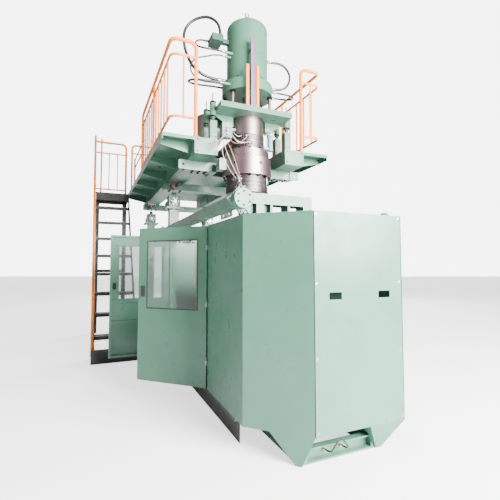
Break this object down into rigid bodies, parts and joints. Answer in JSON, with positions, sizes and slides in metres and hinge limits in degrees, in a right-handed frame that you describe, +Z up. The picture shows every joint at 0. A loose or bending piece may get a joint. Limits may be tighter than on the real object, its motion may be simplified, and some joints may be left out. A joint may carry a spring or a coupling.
{
  "type": "blow moulding machine",
  "caption": "Accumulator-head extrusion blow moulding machine with covered clamp, lifting platform, guard rails, stair, hydraulic injection cylinder and extruder.",
  "frame": {"origin": "on the floor under the axis of the die head, at the sole of the bed's middle cross member", "axes": "+X to the right along the front end covers, +Y along the clamp from its front end towards the stair, +Z up"},
  "size_m": [2.812, 6.03, 4.572],
  "materials": {
    "mint_paint": "semi-gloss enamel, orange-peel surface",
    "dark_green_paint": "semi-gloss enamel in shade",
    "dark_paint": "satin dark grey",
    "orange_paint": "gloss orange-red",
    "purple_scale": "satin",
    "machined_steel": "fine turned marks",
    "chromed_rod": "polished",
    "ground_rail": "ground",
    "clear_pane": "clear, slightly green",
    "galvanised": "dull zinc",
    "black_hose": "smooth black cover",
    "heater_band": "dark steel band"
  },
  "bodies": {
    "machine": {"bed_frame": "mint_paint", "kick_strips": "dark_paint", "end_panels": "mint_paint", "corner_covers": "mint_paint", "side_panel_right": "mint_paint", "top_covers": "mint_paint", "end_frame_front": "mint_paint", "end_frame_rear": "mint_paint", "tie_bars": "mint_paint", "tie_end_fittings": "mint_paint", "guide_rails": "ground_rail", "clamp_cylinders": "mint_paint", "door_frame": "mint_paint", "hinge_pins": "galvanised", "blow_unit_base": "machined_steel", "jack_posts": "mint_paint", "jack_gearboxes": "mint_paint", "stair_stringers": "dark_paint", "stair_treads": "dark_paint", "stair_landing": "dark_paint", "stair_rails": "orange_paint"},
    "platform": {"girder_left": "mint_paint", "girder_right": "mint_paint", "cross_beams": "mint_paint", "deck_plates": "mint_paint", "guard_rail_left": "orange_paint", "guard_rail_right": "orange_paint", "jack_screws": "machined_steel", "head_bridge": "mint_paint", "head_columns": "mint_paint", "head_upper_body": "machined_steel", "head_clamp_rings": "machined_steel", "head_lower_body": "heater_band", "injection_cylinder": "mint_paint", "lifting_eye": "machined_steel", "injection_tie_rods": "machined_steel", "shot_scale_bar": "purple_scale", "extruder_barrel": "heater_band", "extruder_gearbox": "mint_paint", "extruder_motor": "dark_green_paint", "feed_hopper": "galvanised", "valve_block": "dark_green_paint", "hose_upper_loop": "black_hose", "hose_valve_link": "black_hose", "hose_thin": "black_hose", "hose_lower_loop": "black_hose", "hose_right_upper": "black_hose", "hose_right_lower": "black_hose"},
    "front_clamp": {"platen_front": "mint_paint", "clamp_rod_front": "chromed_rod"},
    "rear_clamp": {"platen_rear": "mint_paint", "clamp_rod_rear": "chromed_rod"},
    "front_door": {"door_front": "mint_paint", "door_window_front": "clear_pane"},
    "rear_door": {"door_rear": "mint_paint", "door_window_rear": "clear_pane"},
    "blow_pin": {"blow_pin": "chromed_rod"},
    "ram": {"injection_ram": "chromed_rod"},
    "mandrel": {"die_mandrel": "machined_steel"},
    "screw": {"extruder_screw": "machined_steel"}
  },
  "joints": [
    {"name": "platform_lift", "type": "slide", "parent": "machine", "child": "platform", "axis": [0, 0, 1], "range_m": [0, 0.2]},
    {"name": "front_platen_slide", "type": "slide", "parent": "machine", "child": "front_clamp", "axis": [0, 1, 0], "range_m": [0, 0.23]},
    {"name": "rear_platen_slide", "type": "slide", "parent": "machine", "child": "rear_clamp", "axis": [0, 1, 0], "range_m": [-0.23, 0]},
    {"name": "front_door_swing", "type": "hinge", "parent": "machine", "child": "front_door", "pos_m": [-0.752, -0.79, 0.96], "axis": [0, 0, 1], "range_deg": [-46, 49]},
    {"name": "rear_door_swing", "type": "hinge", "parent": "machine", "child": "rear_door", "pos_m": [-0.752, 0.79, 0.96], "axis": [0, 0, 1], "range_deg": [-5, 90]},
    {"name": "blow_pin_lift", "type": "slide", "parent": "machine", "child": "blow_pin", "axis": [0, 0, 1], "range_m": [0, 0.15]},
    {"name": "injection_stroke", "type": "slide", "parent": "platform", "child": "ram", "axis": [0, 0, 1], "range_m": [0, 0.25]},
    {"name": "mandrel_stroke", "type": "slide", "parent": "platform", "child": "mandrel", "axis": [0, 0, 1], "range_m": [0, 0.02]},
    {"name": "screw_spin", "type": "hinge", "parent": "platform", "child": "screw", "pos_m": [0, 1, 2.985], "axis": [0, 1, 0], "continuous": true}
  ],
  "couplings": [
    {"joint": "rear_platen_slide", "follows": "front_platen_slide", "ratio": -1}
  ]
}
